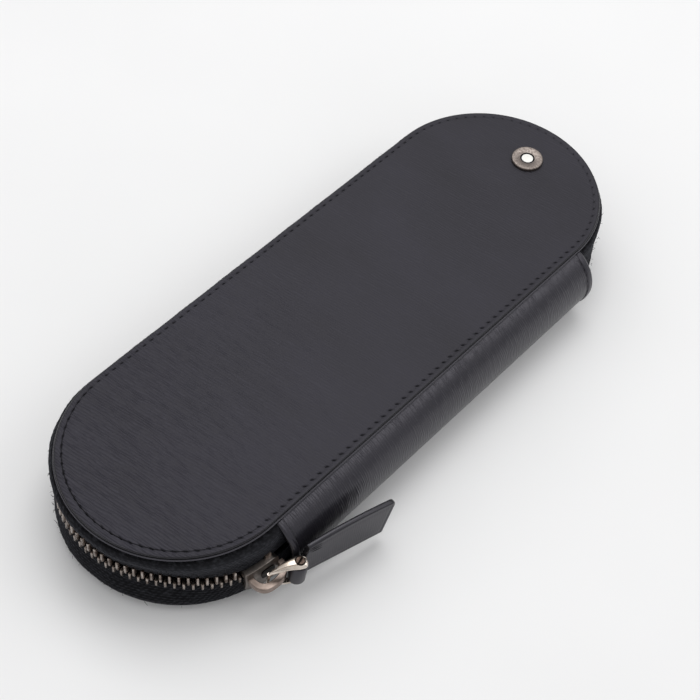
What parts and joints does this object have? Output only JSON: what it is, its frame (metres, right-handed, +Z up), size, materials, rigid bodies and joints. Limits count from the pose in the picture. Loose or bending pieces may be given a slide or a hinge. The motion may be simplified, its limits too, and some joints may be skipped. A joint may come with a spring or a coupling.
{
  "type": "fountain pen case",
  "caption": "Zip-round black leather case with half-round ends, a rounded leather spine, elastic pen loops inside and a leather zip pull.",
  "frame": {"origin": "centre of the lower cover's outer face, where the case rests", "axes": "+Z up through the case, +Y along its length towards the rivet, +X towards the leather spine"},
  "size_m": [0.0782, 0.186, 0.0239],
  "materials": {
    "grained_leather": "fine line grain, satin",
    "fibre_board": "plain",
    "lining_fabric": "smooth woven lining",
    "zip_tape": "woven, fuzzy",
    "zip_metal": "antique nickel",
    "pull_metal": "polished",
    "emblem_metal": "brushed pewter",
    "emblem_inlay": "gloss",
    "elastic": "ribbed elastic"
  },
  "bodies": {
    "base": {"bottom_panel": "grained_leather", "bottom_board": "fibre_board", "bottom_lining": "lining_fabric", "spine_leather": "grained_leather", "spine_lining": "lining_fabric", "lower_tape": "zip_tape", "lower_teeth": "zip_metal", "lower_top_stop": "zip_metal", "bottom_stop": "zip_metal", "near_pen_band": "elastic", "far_pen_band": "elastic"},
    "lid": {"top_panel": "grained_leather", "top_board": "fibre_board", "top_lining": "lining_fabric", "upper_tape": "zip_tape", "upper_teeth": "zip_metal", "upper_top_stop": "zip_metal", "emblem_cap": "emblem_metal", "emblem_inlay": "emblem_inlay", "emblem_washer": "emblem_metal"},
    "slider": {"slider_body": "zip_metal"},
    "shackle": {"pull_shackle": "pull_metal", "pull_pin": "pull_metal"},
    "tab": {"pull_tab": "grained_leather"}
  },
  "joints": [
    {"name": "lid_hinge", "type": "hinge", "parent": "base", "child": "lid", "pos_m": [0.03035, 0, 0.02235], "axis": [0, 1, 0], "range_deg": [0, 120], "deforming": ["upper_tape", "upper_teeth", "upper_top_stop"]},
    {"name": "zip_travel", "type": "hinge", "parent": "base", "child": "slider", "pos_m": [0, -0.06, 0.0115], "axis": [0, 0, 1], "range_deg": [-160, 0], "deforming": ["lower_teeth"]},
    {"name": "shackle_swing", "type": "hinge", "parent": "slider", "child": "shackle", "pos_m": [0.036, -0.06661, 0.01194], "axis": [0.0499, 0.0997, 0.9938], "range_deg": [-110, 0]},
    {"name": "tab_swing", "type": "hinge", "parent": "shackle", "child": "tab", "pos_m": [0.03937, -0.05988, 0.0111], "axis": [0.0499, 0.0997, 0.9938], "range_deg": [-60, 0]}
  ]
}
